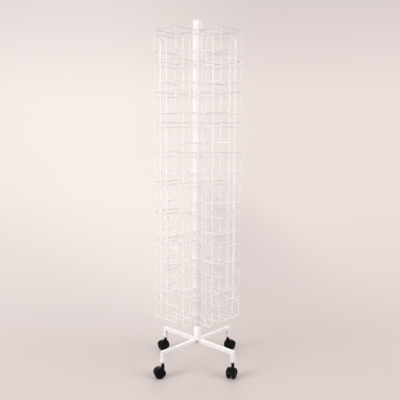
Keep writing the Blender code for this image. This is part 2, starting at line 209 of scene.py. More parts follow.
# A bead's radius swells by this share. It is sunk a little into the socket, and is thinner at a leg's knee.
RIPPLE_SWELL = 0.13
BEAD_SUNK = 0.2 * MM
BEAD_STEP = 0.75 * MM
KNEE_BEAD = 0.5
KNEE_STEP = 1.0 * MM

# How rubbed or dusty each part is, from 0 to 1. A leg's values are for its start, knee and end.
LOOP_RUB = (0.9, 0.6, 0.35)
CORNER_POST_RUB = 0.3
FLOOR_WIRE_RUB = 0.5
HAIRPIN_RUB = 0.45
POST_RUB = 0.55
CAP_RUB = 0.3
SOCKET_RUB = 0.6
LEG_RUB = (0.4, 0.75, 0.9)
HOOD_RUB = 0.15
NECK_RUB = 0.1
TREAD_RUB = 1.0
SHOULDER_RUB = 0.2

# The stage. Light that the floor throws up is a quarter of its colour.
FLOOR_LEVEL = -0.2 * MM
FLOOR_RADII = (0.2, 60.0)
FLOOR_BOUNCE = 0.26
FLOOR_RINGS = 28
FLOOR_FACETS = 72
# The disc's middle is its first circle shrunk to a thousandth.
FLOOR_MIDDLE = (0.001, 0.001, 1)
# The small length, in metres, and the power in the floor's share of the backdrop.
FLOOR_ROOT = 0.3
FLOOR_POWER = 1.5
# Where the floor and the backdrop change: the two ends of what is read, in metres or as a share of a
# direction, and the two ends of what is given.
FLOOR_AROUND = (1.0, 4.0)
FLOOR_FRONT = (1.0, -1.0)
FLOOR_BEYOND = (2.5, 8.0)
BACKDROP_TURNS = (-0.16, 0.14)
BACKDROP_TOP = (0.05, 0.26, 1.0, 0.84)
BACKDROP_SIDE = (-0.65, -0.2, 0.93, 1.0)
# Where the shade painted on the floor begins, ends and fades.
SHADE_BEGINS = (-0.15, 0.35)
SHADE_ENDS = (1.5, 0.35)
SHADE_FADES = (13.0, 4.0, 0.0, -0.12)
# Each lamp's place, in metres back from the rack, to its right and above the floor, and its width.
LAMPS = {
    "key": (-3.4, -4.9, 1.8, 4.8),
    "fill": (-3.0, 5.2, 1.8, 5.4),
    "back": (9.0, 0.0, 3.5, 6.0),
}
LAMP_HEIGHT = 3.2
LAMP_AIM = Vector((0, 0, 0.8))
LAMP_COLOUR = "FFFDFA"
SOFT_COLOUR = "FFFDFB"
SENSOR_MM = 36.0


def linear(code):
    """An sRGB hex colour as linear red, green and blue."""
    srgb = np.array([int(code[i : i + 2], 16) for i in (0, 2, 4)]) / 255
    return tuple(np.where(srgb <= 0.04045, srgb / 12.92, ((srgb + 0.055) / 1.055) ** 2.4).tolist())


# Settings. Each of these makes one property with its unit or subtype.


def length_property(name, description, default):
    return FloatProperty(name=name, description=description, default=default, unit="LENGTH")


def angle_property(name, description, degrees):
    return FloatProperty(name=name, description=description, default=math.radians(degrees), subtype="ANGLE")


def colour_property(name, description, code):
    return FloatVectorProperty(name=name, description=description, default=linear(code), subtype="COLOR")


def power_property(name, description, watts):
    return FloatProperty(name=name, description=description, default=watts, unit="POWER")


class RackWireSettings(bpy.types.PropertyGroup):
    """Sizes of the round wire and of its welds."""

    loop: length_property("Loop wire", "Diameter of the wire in a basket's loops", 3.2 * MM)
    upright: length_property("Upright wire", "Diameter of the corner posts and floor wires", 2.8 * MM)
    hairpin: length_property("Hairpin wire", "Diameter of the long wires", 4.0 * MM)
    loop_bend: length_property("Loop bend", "Bend at a loop's corners, to the wire's middle", 6.0 * MM)
    hairpin_bend: length_property("Hairpin bend", "Bend of the long wires, to the wire's middle", 8.0 * MM)
    weld: length_property("Weld", "Half the width of a spot weld between two wires", 1.9 * MM)
    sides: IntProperty(name="Sides", description="Facets round a wire", default=12, min=6, max=32)


class RackTubeSettings(bpy.types.PropertyGroup):
    """Sizes of the square and rectangular tube."""

    post_corner: length_property("Post corner", "Outer corner radius of the post", 2.6 * MM)
    leg_corner: length_property("Leg corner", "Outer corner radius of a leg", 2.2 * MM)
    bead: length_property("Weld bead", "Radius of a leg's weld bead", 1.7 * MM)
    ripple: length_property("Ripple", "Distance between a weld bead's ripples", 3.0 * MM)


class RackCastorSettings(bpy.types.PropertyGroup):
    """Sizes of the twin-wheel castors."""

    tread: length_property("Tread", "Radius of a wheel", AXLE_HEIGHT)
    shoulder: length_property("Shoulder", "Rounding of a tread's outer edge", 6.0 * MM)
    edge: length_property("Inner edge", "Rounding of a tread's inner edge", 1.6 * MM)
    wall: length_property("Hood wall", "Thickness of the hood", 2.2 * MM)
    crown: length_property("Hood crown", "How far the hood's edges drop below its middle", 3.5 * MM)
    segments: IntProperty(name="Segments", description="Facets round a wheel", default=72, min=24, max=128)


class RackFinishSettings(bpy.types.PropertyGroup):
    """Colours of the finishes."""

    powder: colour_property("Powder coat", "White coat on tube and wire", "F6F2F2")
    rubbed: colour_property("Rubbed coat", "The coat where hands and goods rub it", "DAD4D1")
    plastic: colour_property("Castor plastic", "Moulded hood and wheels", "090909")
    dust: colour_property("Floor dust", "Dust on the treads", "201F1D")
    zinc: colour_property("Zinc plate", "Plated stems, axles and spindle", "C3C5C8")
    nylon: colour_property("Nylon", "Bushes and washer", "E4DFD2")


class RackStageSettings(bpy.types.PropertyGroup):
    """Floor, light and camera."""

    azimuth: angle_property("Azimuth", "Way round the rack to the camera", 43.87)
    distance: length_property("Distance", "From the post to the camera, level", 2.619)
    height: length_property("Height", "Camera above the floor", 1.137)
    pitch: angle_property("Pitch", "How far the camera looks down", 6.61)
    yaw: angle_property("Yaw", "How far the camera looks right of the post", 0.26)
    roll: angle_property("Roll", "How far the camera leans anticlockwise", 0.16)
    lens: FloatProperty(name="Lens", description="Focal length in mm on a 36 mm frame", default=48.3)
    floor: colour_property("Floor", "Floor under the rack", "DACFCE")
    backdrop_left: colour_property("Backdrop on the left", "All behind the rack, on its left", "F7EEEA")
    backdrop_right: colour_property("Backdrop on the right", "All behind the rack, on its right", "ECE0DD")
    soft: FloatProperty(name="Soft light", description="Strength of the light from all round", default=0.57)
    key: power_property("Key", "Power of the lamp on the left", 314.0)
    fill: power_property("Fill", "Power of the lamp on the right", 238.0)
    back: power_property("Back", "Power of the lamp behind", 230.0)


# Surfaces. A shell is (points, quads, caps, rub): arrays of points, of quads, of end faces and of one rub
# value for each point.


def points_of(x, y, z):
    """Coordinates that broadcast together, joined as points."""
    return np.stack(np.broadcast_arrays(x, y, z), -1)


def unit(vectors):
    """Vectors divided by their lengths."""
    return vectors / np.linalg.norm(vectors, axis=-1, keepdims=True)


def eased(share):
    """A share held between 0 and 1 and made level at both ends: three of its squares less two of its
    cubes."""
    share = np.clip(share, 0, 1)
    return 3 * share**2 - 2 * share**3


def ring_quads(rows, columns, wrapped):
    """Quads from each ring of points to the next, and from the last to the first if wrapped."""
    row = np.arange(rows if wrapped else rows - 1)[:, None]
    column = np.arange(columns)[None, :]
    onward, beside = (row + 1) % rows, (column + 1) % columns
    corners = [
        row * columns + column,
        row * columns + beside,
        onward * columns + beside,
        onward * columns + column,
    ]
    return np.stack(np.broadcast_arrays(*corners), -1).reshape(-1, 4)


def shell(rings, rub=0.0, wrapped=False):
    """Rings of points, as (rows, columns, 3), skinned with quads and closed at both ends unless wrapped."""
    rows, columns = rings.shape[:2]
    ends = np.arange(columns)
    caps = np.stack([ends[::-1], ends + (rows - 1) * columns])
    rub = np.broadcast_to(np.asarray(rub, float), (rows, columns)).ravel()
    return rings.reshape(-1, 3), ring_quads(rows, columns, wrapped), caps[:0] if wrapped else caps, rub


def repeated(base, centres):
    """Copies of a shell, one moved to each centre."""
    points, quads, caps, rub = base
    centres = np.asarray(centres, float)
    start = np.arange(len(centres))[:, None, None] * len(points)
    return (
        (centres[:, None, :] + points).reshape(-1, 3),
        (quads + start).reshape(-1, 4),
        (caps + start).reshape(-1, caps.shape[1]),
        np.tile(rub, len(centres)),
    )


def moved(shells, turn, place=(0, 0, 0)):
    """The shells turned about Z and then moved."""
    c, s = math.cos(turn), math.sin(turn)
    spin = np.array([[c, s, 0], [-s, c, 0], [0, 0, 1]])
    return [(points @ spin + np.asarray(place), *rest) for points, *rest in shells]


def circle(count, start=0.0):
    """Cosine and sine at equal steps of a whole turn."""
    angle = start + TURN * np.arange(count) / count
    return np.cos(angle), np.sin(angle)


CORNER_STEPS = 6
# For each point of a rounded rectangle, 1 in the middle of a corner and 0 where it meets a side.
EDGE = np.tile(np.sin(2 * np.linspace(0, QUARTER, CORNER_STEPS + 1)), 4)


def rounded_rectangle(width, depth, corner):
    """A rectangle whose corners are quarter circles, as points round its centre. Each corner's circle
    stands in from both sides by its radius."""
    quarter = np.linspace(0, QUARTER, CORNER_STEPS + 1)
    angle = (np.arange(4)[:, None] * QUARTER + quarter).ravel()
    sign_x = np.repeat([1, -1, -1, 1], len(quarter))
    sign_y = np.repeat([1, 1, -1, -1], len(quarter))
    x = sign_x * (width / 2 - corner) + corner * np.cos(angle)
    y = sign_y * (depth / 2 - corner) + corner * np.sin(angle)
    return np.stack([x, y], -1)


def rounded_square(side, corner):
    """A rounded rectangle as deep as it is wide."""
    return rounded_rectangle(side, side, corner)


def prism(sections, heights):
    """Rings that lie level, one section of points at each height."""
    return np.stack([points_of(*section.T, height) for section, height in zip(sections, heights)])


def upright_tube(low, high, outer, end, inner, lip, rub):
    """A tube that stands upright, as six rings: its outside, which draws in to the end's section over a
    lip, and its inside. The outside's corners are rubbed."""
    rings = prism([end, outer, outer, end, inner, inner], [low, low + lip, high - lip, high, high, low])
    return shell(rings, np.outer([rub, rub, rub, rub, 0, 0], EDGE), True)


def bent_path(corners, bend, steps=8):
    """Straight runs through square corners, each turned on a quarter circle of the bend's radius."""
    corners = np.asarray(corners, float)
    middle = corners[1:-1]
    back, onward = unit(corners[:-2] - middle), unit(corners[2:] - middle)
    angle = np.linspace(0, QUARTER, steps + 1)[None, :, None]
    centre = middle + (back + onward) * bend
    arcs = centre[:, None] - bend * (onward[:, None] * np.cos(angle) + back[:, None] * np.sin(angle))
    return np.concatenate([corners[:1], arcs.reshape(-1, 3), corners[-1:]])


def cut_ends(path, radius):
    """A path with a short step added at each end, and a radius that shrinks there, as a deburred cut
    does."""
    inset = CUT_INSET * radius
    first, last = path[0], path[-1]
    after = first + unit(path[1] - first) * inset
    before = last - unit(last - path[-2]) * inset
    path = np.vstack([first, after, path[1:-1], before, last])
    radii = np.full(len(path), radius)
    radii[[0, -1]] = CUT_RADIUS * radius
    return path, radii


def carried(path, along, normal, radii, sides):
    """Rings of a circle carried along a flat path. Each lies square to the path, between the plane's normal
    and the direction that is square to both."""
    across = np.cross(normal, along)
    c, s = circle(sides)
    ring = c[None, :, None] * across[:, None] + s[None, :, None] * normal
    return path[:, None] + radii[:, None, None] * ring


def wire(path, normal, diameter, sides, rub=0.0):
    """A circle carried along a flat path, with cut ends."""
    path, radii = cut_ends(np.asarray(path, float), diameter / 2)
    along = unit(np.gradient(path, axis=0))
    return shell(carried(path, along, np.asarray(normal, float), radii, sides), rub)


def straight(start, end, normal, diameter, sides, rub=0.0):
    """A wire along one straight run."""
    return wire(np.linspace(start, end, 4), normal, diameter, sides, rub)


def spot_weld(half_sizes, rows=4, columns=8):
    """A flattened ball: circles whose radius follows the sine from pole to pole, stretched to three half
    sizes."""
    tilt = np.linspace(SPOT_POLE, math.pi - SPOT_POLE, rows)[:, None]
    c, s = circle(columns)
    ball = points_of(np.sin(tilt) * c, np.sin(tilt) * s, -np.cos(tilt))
    return shell(ball * np.asarray(half_sizes))


def lathe(profile, segments, axis="z", rub=0.0):
    """A profile of (radius, height) points turned about an axis, with one rub value for each of them or for
    all."""
    profile = np.asarray(profile, float)
    c, s = circle(segments)
    radius, height = profile[:, :1], profile[:, 1:]
    if axis == "z":
        rings = points_of(radius * c, radius * s, height)
    else:
        rings = points_of(radius * s, height, radius * c)
    return shell(rings, np.reshape(rub, (-1, 1)))


def distances(path):
    """How far along a path each of its points is."""
    return np.concatenate([[0], np.cumsum(np.linalg.norm(np.diff(path, axis=0), axis=1))])


def bead(path, radius, ripple, columns=8):
    """A weld bead: a circle carried round a closed flat path, whose radius follows a sine along the way."""
    along = unit(np.roll(path, -1, 0) - np.roll(path, 1, 0))
    normal = unit(np.cross(path[0] - path.mean(0), along[0]))
    radii = radius * (1 + RIPPLE_SWELL * np.sin(TURN * distances(path) / ripple))
    return shell(carried(path, along, normal, radii, columns), wrapped=True)


def evenly(path, spacing):
    """A closed path's points set again at equal steps along it."""
    closed = np.concatenate([path, path[:1]])
    length = distances(closed)
    count = int(length[-1] / spacing)
    wanted = length[-1] * np.arange(count) / count
    return np.stack([np.interp(wanted, length, closed[:, k]) for k in range(3)], -1)


# Finishes. Settings that several nodes share come first. A map range takes, in order, a value, the two ends
# that it comes from and the two that it goes to, which are 0 and 1 where they aren't given.

SMOOTH = {"interpolation_type": "SMOOTHSTEP"}
COLOURS = {"data_type": "RGBA"}
TIMES = {"operation": "MULTIPLY"}
TIMES_AND_ADD = {"operation": "MULTIPLY_ADD"}
LARGER = {"operation": "MAXIMUM"}
ADD = {"operation": "ADD"}
DOT = {"operation": "DOT_PRODUCT"}
SCALE = {"operation": "SCALE"}


def fill_in(tree, node, inputs):
    """Gives a node's inputs their values, by name or in order. An output is linked, and a node stands for
    its first output."""
    for name, value in inputs.items() if isinstance(inputs, dict) else enumerate(inputs):
        if isinstance(value, bpy.types.Node):
            value = value.outputs[0]
        if isinstance(value, bpy.types.NodeSocket):
            tree.links.new(value, node.inputs[name])
        else:
            node.inputs[name].default_value = value


def add_node(tree, kind, settings=None, inputs=None):
    """Adds one shader node of a kind, with its settings and its inputs."""
    made = tree.nodes.new(f"ShaderNode{kind}")
    for name, value in (settings or {}).items():
        setattr(made, name, value)
    fill_in(tree, made, inputs or {})
    return made


def new_material(name):
    """A new material with its tree, its Principled shader and the Object coordinates."""
    material = bpy.data.materials.new(name)
    material.use_nodes = True
    tree = material.node_tree
    place = add_node(tree, "TexCoord").outputs["Object"]
    return material, tree, tree.nodes["Principled BSDF"], place


def rgba(colour, scale=1.0):
    """A colour made lighter or darker, with full opacity."""
    return (*(scale * np.array(colour)).tolist(), 1.0)


def clouded(tree, place, colours, width, detail):
    """A colour that drifts between two, in patches of a given width, with the drift itself."""
    drift = add_node(tree, "TexNoise", None, {"Vector": place, "Scale": 1 / width, "Detail": detail})
    tone = add_node(tree, "Mix", COLOURS, {0: drift, 6: colours[0], 7: colours[1]})
    return drift, tone.outputs[2]


def worn(tree, tone, colour, pattern, start, end):
    """A tone that gives way to a colour where a piece's rub value, times a pattern, goes from start to
    end."""
    rub = add_node(tree, "Attribute", {"attribute_name": "rub"}).outputs["Fac"]
    share = add_node(tree, "Math", TIMES, [rub, pattern])
    share = add_node(tree, "MapRange", SMOOTH, [share, start, end])
    return add_node(tree, "Mix", COLOURS, {0: share, 6: tone, 7: rgba(colour)}).outputs[2]


def powder_coat(finish):
    """Baked polyester powder on steel. Satin white, with the soft pebble of flowed powder, a faint uneven
    tone, a greyer look where hands and goods rub it, a darker tone near the floor, and painted shade on
    the very top."""
    material, tree, shader, place = new_material("powder_coated_steel_white")
    # Uneven tone in patches about 120 mm across, up to 4.5% darker.
    coats = rgba(finish.powder), rgba(finish.powder, 0.955)
    patch, tone = clouded(tree, place, coats, width=120 * MM, detail=3.0)
    # Rubbed places break up into patches about 14 mm across.
    scuff = add_node(tree, "TexNoise", None, {"Vector": place, "Scale": 1 / (14 * MM), "Detail": 5.0})
    colour = worn(tree, tone, finish.rubbed, scuff, start=0.22, end=0.62)
    # The colour is 12% darker up to 140 mm above the floor, and not darker at all above 200 mm. Above 1630
    # mm it is 10% darker: a painted shade, as though less light fell on the very top.
    height = add_node(tree, "SeparateXYZ", None, [place]).outputs["Z"]
    foot = add_node(tree, "MapRange", SMOOTH, [height, 140 * MM, 200 * MM, 0.88, 1.0])
    # Painted shade: the very top is darker, as though less light fell on it.
    top = add_node(tree, "MapRange", SMOOTH, [height, 1600 * MM, 1630 * MM, 1.0, 0.9])
    foot_dimming_and_top_shade = add_node(tree, "Math", TIMES, [foot, top])
    dimmed_and_shaded = add_node(tree, "VectorMath", SCALE, {0: colour, "Scale": foot_dimming_and_top_shade})
    gloss = add_node(tree, "MapRange", None, {"Value": patch, "To Min": 0.34, "To Max": 0.46})
    # The real pebble is about 1 mm across. It is drawn at 2 mm, as coarse as it needs to show.
    pebble = add_node(tree, "TexNoise", None, {"Vector": place, "Scale": 1 / (2 * MM), "Detail": 1.0})
    bump = add_node(tree, "Bump", None, {"Height": pebble, "Strength": 0.18, "Distance": 0.25 * MM})
    fill_in(tree, shader, {"Base Color": dimmed_and_shaded, "Roughness": gloss, "Normal": bump, "IOR": 1.5})
    return material


def castor_plastic(finish):
    """Injection-moulded polypropylene. Near black, with a fine spark-eroded grain from the mould, a soft
    sheen, and dark grey floor dust on the treads."""
    material, tree, shader, place = new_material("moulded_polypropylene_black")
    # Flow marks about 25 mm across, from 20% darker to 30% lighter.
    marks = rgba(finish.plastic, 0.8), rgba(finish.plastic, 1.3)
    _, tone = clouded(tree, place, marks, width=25 * MM, detail=4.0)
    # Dust clings in specks about 3 mm across.
    speck = add_node(tree, "TexNoise", None, {"Vector": place, "Scale": 1 / (3 * MM), "Detail": 6.0})
    colour = worn(tree, tone, finish.dust, speck, start=0.3, end=0.8)
    gloss = add_node(tree, "MapRange", None, {"Value": speck, "To Min": 0.36, "To Max": 0.56})
    # The mould's grain is about 0.3 mm. It is drawn at 0.9 mm, as coarse as it needs to show.
    grain = add_node(tree, "TexNoise", None, {"Vector": place, "Scale": 1 / (0.9 * MM), "Detail": 2.0})
    bump = add_node(tree, "Bump", None, {"Height": grain, "Strength": 0.25, "Distance": 0.2 * MM})
    fill_in(tree, shader, {"Base Color": colour, "Roughness": gloss, "Normal": bump})
    fill_in(tree, shader, {"IOR": 1.49, "Specular IOR Level": 0.08})
    return material


def zinc_plate(finish):
    """Bright zinc electroplate on turned steel. Bluish grey metal, clouded in patches, with fine turning
    lines."""
    material, tree, shader, place = new_material("zinc_plated_steel")
    # Clouding about 6 mm across, up to 18% darker.
    plates = rgba(finish.zinc, 0.82), rgba(finish.zinc)
    cloud, tone = clouded(tree, place, plates, width=6 * MM, detail=3.0)
    gloss = add_node(tree, "MapRange", None, {"Value": cloud, "To Min": 0.22, "To Max": 0.42})
    # Turning lines are about 0.2 mm apart. They are drawn at 1 mm, as coarse as they need to show. A wave
    # of scale 1 repeats every 0.314 m.
    turned = {"Vector": place, "Scale": 0.314 / (1 * MM), "Distortion": 1.5, "Detail": 1.0}
    lines = add_node(tree, "TexWave", {"bands_direction": "Z"}, turned).outputs["Fac"]
    bump = add_node(tree, "Bump", None, {"Height": lines, "Strength": 0.08, "Distance": 0.1 * MM})
    fill_in(tree, shader, {"Base Color": tone, "Roughness": gloss, "Normal": bump, "Metallic": 1.0})
    return material


def natural_nylon(finish):
    """Turned nylon, undyed. Warm white and waxy, a little see-through at its edges, with a matt machined
    skin."""
    material, tree, shader, place = new_material("natural_nylon_turned")
    # Milky clouding about 10 mm across, up to 10% darker.
    clouds = rgba(finish.nylon), rgba(finish.nylon, 0.9)
    cloud, tone = clouded(tree, place, clouds, width=10 * MM, detail=2.0)
    gloss = add_node(tree, "MapRange", None, {"Value": cloud, "To Min": 0.45, "To Max": 0.6})
    fill_in(tree, shader, {"Base Color": tone, "Roughness": gloss, "IOR": 1.53})
    fill_in(tree, shader, {"Subsurface Weight": 0.15, "Subsurface Scale": 2 * MM})
    return material


WHITE = "white_powder_coat"
BLACK = "black_moulded_plastic"
ZINC = "zinc_plated_steel"
NYLON = "natural_nylon"
FINISHES = {WHITE: powder_coat, BLACK: castor_plastic, ZINC: zinc_plate, NYLON: natural_nylon}
MADE = {}


def finish_of(slot):
    """The material of a slot, made once."""
    if slot not in MADE:
        MADE[slot] = FINISHES[slot](bpy.context.scene.rack_finish)
    return MADE[slot]


# Pieces. Faces that meet at less than this angle shade as one.

SMOOTH_BELOW = math.radians(40)


def add_object(name, data):
    """Puts a mesh, a lamp or a camera into the scene as an object."""
    obj = bpy.data.objects.new(name, data)
    bpy.context.scene.collection.objects.link(obj)
    return obj


def add_piece(name, shells, slot, body, node):
    """Makes one object of the shells, at the origin, with its rub values as a point attribute. It rides on
    a body, stands for a node and takes the finish of a slot."""
    starts = np.cumsum([0, *[len(points) for points, *_ in shells]])
    faces = []
    for (_, quads, caps, _), start in zip(shells, starts):
        faces += (quads + start).tolist() + (caps + start).tolist()
    mesh = bpy.data.meshes.new(name)
    mesh.from_pydata(np.concatenate([points for points, *_ in shells]).tolist(), [], faces)
    rub = mesh.attributes.new("rub", "FLOAT", "POINT")
    rub.data.foreach_set("value", np.concatenate([values for *_, values in shells]).astype(np.float32))
    mesh.polygons.foreach_set("use_smooth", np.ones(len(mesh.polygons), bool))
    mesh.set_sharp_from_angle(angle=SMOOTH_BELOW)
    mesh.materials.append(finish_of(slot))
    obj = add_object(name, mesh)
    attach(obj, body)
    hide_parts(node)


class RACK_OT_kept_pieces(bpy.types.Operator):
    """Give the solids that stay as they are their finishes: the spindle, the washer and the two bushes"""

    bl_idname = "rack.kept_pieces"
    bl_label = "Finish the spindle and bushes"

    def execute(self, context):
        slots = {row["node"]: row["material_slot"] for row in frame["record"]["subparts"]}
        for name in ("spindle", "thrust_washer", "lower_bush", "upper_bush"):
            mesh = frame["nodes"][name].data
            mesh.materials.clear()
            mesh.materials.append(finish_of(slots[name]))
        return {"FINISHED"}


class RACK_OT_post(bpy.types.Operator):
    """Make the square post with rounded corners, and its flat end cap"""

    bl_idname = "rack.post"
    bl_label = "Make the post"

    def tube(self, corner):
        """A rounded square drawn up between the post's two ends, inside and out."""
        low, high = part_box("post_tube")
        outer = rounded_square(POST_SIDE, corner)
        inner = rounded_square(POST_INSIDE, corner - (POST_SIDE - POST_INSIDE) / 2)
        end = rounded_square(POST_SIDE - POST_LIP, corner - POST_LIP / 2)
        return upright_tube(low.z, high.z, outer, end, inner, POST_LIP, POST_RUB)

    def cap(self, corner):
        """A plug inside the post, and a flange on it whose rounded squares narrow towards the top."""
        low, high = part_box("post_cap")
        plug = rounded_square(CAP_PLUG, CAP_PLUG_CORNER)
        foot = low.z + CAP_PLUG_DEPTH
        flange = [(0.0, foot), (0.0, foot + CAP_FLANGE)]
        flange += [(less * MM, high.z - drop * MM) for less, drop in CAP_EDGE]
        sections = [rounded_square(POST_SIDE - less, corner) for less, _ in flange]
        heights = [height for _, height in flange]
        return shell(prism([plug, plug, *sections], [low.z, foot, *heights]), CAP_RUB)

    def execute(self, context):
        corner = context.scene.rack_tube.post_corner
        add_piece("post", [self.tube(corner)], WHITE, "spinner", "post_tube")
        add_piece("post_end_cap", [self.cap(corner)], WHITE, "spinner", "post_cap")
        return {"FINISHED"}


class RACK_OT_base(bpy.types.Operator):
    """Make the square socket and the four mitred legs, with their weld beads"""

    bl_idname = "rack.base"
    bl_label = "Make the base"

    def socket(self):
        """A rounded square drawn up between the socket's two ends, with a round bore."""
        low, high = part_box("base_socket")
        outer = rounded_square(SOCKET_SIDE, SOCKET_CORNER)
        end = rounded_square(SOCKET_END, SOCKET_END_CORNER)
        bore = np.stack(circle(len(outer), BORE_START), -1) * SOCKET_BORE / 2
        return upright_tube(low.z, high.z, outer, end, bore, SOCKET_LIP, SOCKET_RUB)

    def runs(self, section):
        """A section carried out along X and down at the knee, as three rings. The knee's ring lies in the
        plane that halves the turn: each point moves along the first run until its distance out matches its
        distance up."""
        across, above = section.T
        start = points_of(LEG_START, -across, LEG_CENTRE + above)
        knee = points_of(LEG_REACH + above, -across, LEG_CENTRE + above)
        end = points_of(LEG_REACH + above, -across, LEG_END)
        return np.stack([start, knee, end])

    def leg(self, tube):
        """A rounded rectangle carried along the leg's two runs, outside and in, and beads round its start
        and its knee."""
        width, height = LEG_SECTION
        outside = self.runs(rounded_rectangle(width, height, tube.leg_corner))
        hollow = width - 2 * LEG_WALL, height - 2 * LEG_WALL
        inside = self.runs(rounded_rectangle(*hollow, tube.leg_corner / 2))
        rings = np.concatenate([outside, inside[::-1]])
        rub = np.outer([*LEG_RUB, 0, 0, 0], EDGE)
        sunk = outside[0] - [BEAD_SUNK, 0, 0]
        beads = [
            bead(evenly(sunk, BEAD_STEP), tube.bead, tube.ripple),
            bead(evenly(outside[1], KNEE_STEP), KNEE_BEAD * tube.bead, tube.ripple),
        ]
        return [shell(rings[:, ::-1], rub, True), *beads]

    def execute(self, context):
        add_piece("socket", [self.socket()], WHITE, "base", "base_socket")
        leg = self.leg(context.scene.rack_tube)
        for place, (direction, _) in CASTORS.items():
            shells = moved(leg, math.radians(direction))
            add_piece(f"leg_tube_{place}", shells, WHITE, "base", f"leg_{place}")
        return {"FINISHED"}


class RACK_OT_castors(bpy.types.Operator):
    """Make the four twin-wheel castors: stem, hood, axle and wheels"""

    bl_idname = "rack.castors"
    bl_label = "Make the castors"

    def stem(self):
        """A turned pin and collar, and a rounded rectangle drawn up as the plug that holds them in the
        leg."""
        plug = rounded_rectangle(*PLUG_SECTION, PLUG_CORNER)
        return [lathe(np.array(STEM) * MM, STEM_FACETS), shell(prism([plug, plug], [PLUG_FOOT, PLUG_TOP]))]

    def round_axle(self, radius, angle, across):
        """Points at a radius and an angle about the axle, and at a distance across it."""
        out, up = radius * np.cos(angle), radius * np.sin(angle)
        return points_of(CASTOR_TRAIL + out, across, AXLE_HEIGHT + up)

    def cover(self, castor):
        """A thin strip with round edges, carried about the axle on an arc. Its radius drops by the crown
        times the sixth power of the share of the way to its edge."""
        half = castor.wall / 2
        # The strip's section: out along the top, round one edge, back along the underside, round the other
        # edge.
        flat = np.linspace(-1, 1, COVER_ACROSS) * (HOOD_HALF - half)
        level = np.full(len(flat), half)
        turn = np.linspace(0, math.pi, COVER_EDGE)[1:-1]
        bulge, rise = flat[-1] + half * np.sin(turn), half * np.cos(turn)
        across = np.concatenate([flat, bulge, -flat, -bulge])
        depth = np.concatenate([level, rise, -level, -rise])
        outward = (across / HOOD_HALF) ** 6
        radius = HOOD_INNER + half + depth - castor.crown * outward
        angle = np.radians(np.linspace(*HOOD_ARC, COVER_STEPS))[:, None]
        return shell(self.round_axle(radius, angle, across), HOOD_RUB * outward)

    def web(self, castor):
        """A disc between the wheels, as four rings: a hub's circle below, which widens smoothly to the
        inside of the cover above. Its edges draw in."""
        way = np.linspace(*WEB_TURN, WEB_FACETS + 1)[:-1]
        widened = [(way - WEB_ARC[0]) / WEB_WIDENS, (WEB_ARC[1] - way) / WEB_WIDENS]
        share = eased(np.prod(np.clip(widened, 0, 1), axis=0))
        reach = WEB_HUB + (HOOD_INNER + WEB_SUNK * castor.wall - WEB_HUB) * share
        across = np.array([-WEB_HALF, WEB_EDGE - WEB_HALF, WEB_HALF - WEB_EDGE, WEB_HALF])[:, None]
        less = np.array([WEB_EDGE, 0, 0, WEB_EDGE])[:, None]
        return shell(self.round_axle(reach - less, np.radians(way), across)[:, ::-1])

    def neck(self):
        """A column on the swivel's axis. Its section is a superellipse, the cosine and sine each to a power
        of 2 / n with its sign kept, and n goes from 6, a rounded oblong, to 2, a circle, on the way up. A
        blind bore in its top takes the stem's pin."""
        share = np.linspace(0, 1, NECK_STEPS)[:, None]
        start, end = NECK_WIDENS
        smooth = eased((share - start) / (end - start))
        power = 2 / (6 - 4 * smooth)
        half_x, half_y = [foot + (NECK_RADIUS - foot) * smooth for foot in NECK_FOOT]
        taper = np.where(share == 1, NECK_END, 1.0)
        c, s = circle(NECK_FACETS)
        x = taper * half_x * np.sign(c) * np.abs(c) ** power
        y = taper * half_y * np.sign(s) * np.abs(s) ** power
        column = points_of(x, y, AXLE_HEIGHT + share * (NECK_TOP - AXLE_HEIGHT))
        bore = points_of(NECK_BORE * c, NECK_BORE * s, np.array([[NECK_TOP], [NECK_BORE_FOOT]]))
        return shell(np.concatenate([column, bore]), NECK_RUB)

    def axle(self):
        """A pin across both wheels, turned from a profile with domed ends."""
        end = np.array(AXLE_END) * MM - [0, WHEEL_FACES[1] - WHEEL_DISH - AXLE_GAP]
        return lathe(np.concatenate([end, end[::-1] * [1, -1]]), AXLE_FACETS, "y")

    def wheel(self, castor):
        """A wheel's section turned about the axle: blind bore, flat inner face, tread with a quarter circle
        at both edges, rim and dished outer face with a raised hub that covers the axle's end."""
        tread, shoulder, edge = castor.tread, castor.shoulder, castor.edge
        inner, outer = WHEEL_FACES
        quarter = np.linspace(0, QUARTER, TREAD_STEPS)
        c, s = np.cos(quarter), np.sin(quarter)
        near = np.column_stack([tread - edge + edge * s, inner + edge - edge * c])
        far = np.column_stack([tread - shoulder + shoulder * c, outer - shoulder + shoulder * s])
        rim_steps = np.array(RIM_STEPS) * MM + [tread - shoulder, 0]
        hub_steps = np.array(HUB_STEPS) * MM + [WHEEL_HUB, 0]
        face = np.concatenate([rim_steps, hub_steps]) * [1, -1] + [0, outer]
        groove = np.array(GROOVE) * MM + [0, inner]
        blind = outer - WHEEL_DISH
        hole = [(POLE, blind), (WHEEL_BORE, blind), (WHEEL_BORE, inner)]
        dust = [
            np.zeros(len(hole) + len(groove)),
            np.linspace(0, TREAD_RUB, len(near)),
            np.linspace(TREAD_RUB, SHOULDER_RUB, len(far)),
            np.zeros(len(face)),
        ]
        profile = np.concatenate([hole, groove, near, far, face])
        return lathe(profile, castor.segments, "y", np.concatenate(dust))

